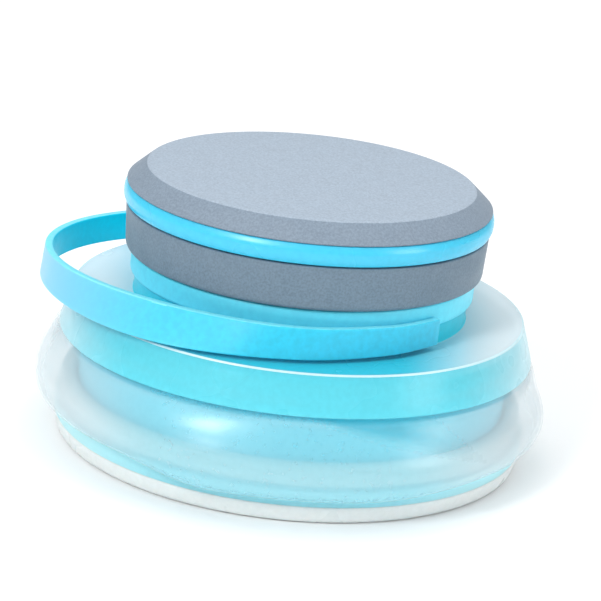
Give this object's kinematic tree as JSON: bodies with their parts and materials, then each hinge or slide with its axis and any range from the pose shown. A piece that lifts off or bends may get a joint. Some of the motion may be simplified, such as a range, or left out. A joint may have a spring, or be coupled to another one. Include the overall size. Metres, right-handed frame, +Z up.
{
  "type": "folding water bottle",
  "caption": "Collapsible drinking bottle folded flat, with a soft film wall between a stiff base and a stiff top, a screw cap and a loop strap.",
  "frame": {"origin": "centre of the foot's underside, on the floor under the neck's axis", "axes": "+Z up along the neck's axis from the foot to the cap; the strap's loop points towards -X, turned 6 degrees towards +Y"},
  "size_m": [0.097, 0.097, 0.0513],
  "materials": {
    "clear_foot": "frosted translucent soft plastic",
    "cyan_clear_shell": "cyan-tinted translucent plastic",
    "clear_film": "satin translucent film",
    "frosted_shell": "satin translucent plastic with a light cyan tint",
    "cyan_strap": "satin flexible plastic",
    "grey_cap": "fine-grained soft-touch grey",
    "cyan_ring": "satin cyan",
    "seal_silicone": "pale silicone"
  },
  "bodies": {
    "base": {"foot_ring": "clear_foot", "base_cup": "cyan_clear_shell", "base_clamp_ring": "cyan_clear_shell", "soft_wall": "clear_film"},
    "top": {"dome_clamp_ring": "cyan_clear_shell", "top_shell": "frosted_shell", "strap_collar": "cyan_strap"},
    "strap": {"carry_strap": "cyan_strap"},
    "ring": {"cap_ring": "cyan_ring"},
    "cap": {"cap_body": "grey_cap", "cap_seal": "seal_silicone", "cap_cover": "grey_cap"}
  },
  "joints": [
    {"name": "unfold", "type": "slide", "parent": "base", "child": "top", "axis": [0, 0, 1], "range_m": [0, 0.135], "deforming": ["soft_wall"]},
    {"name": "strap_swing", "type": "hinge", "parent": "top", "child": "strap", "pos_m": [0.02238, -0.00235, 0.0305], "axis": [0.1045, 0.9945, 0], "range_deg": [0, 100]},
    {"name": "cap_lift", "type": "slide", "parent": "top", "child": "ring", "axis": [0, 0, 1], "range_m": [0, 0.0141]},
    {"name": "cap_turn", "type": "hinge", "parent": "ring", "child": "cap", "pos_m": [0, 0, 0.0457], "axis": [0, 0, 1], "range_deg": [0, 630]}
  ],
  "couplings": [
    {"joint": "cap_lift", "follows": "cap_turn", "m_per_rad": 0.0012732}
  ]
}
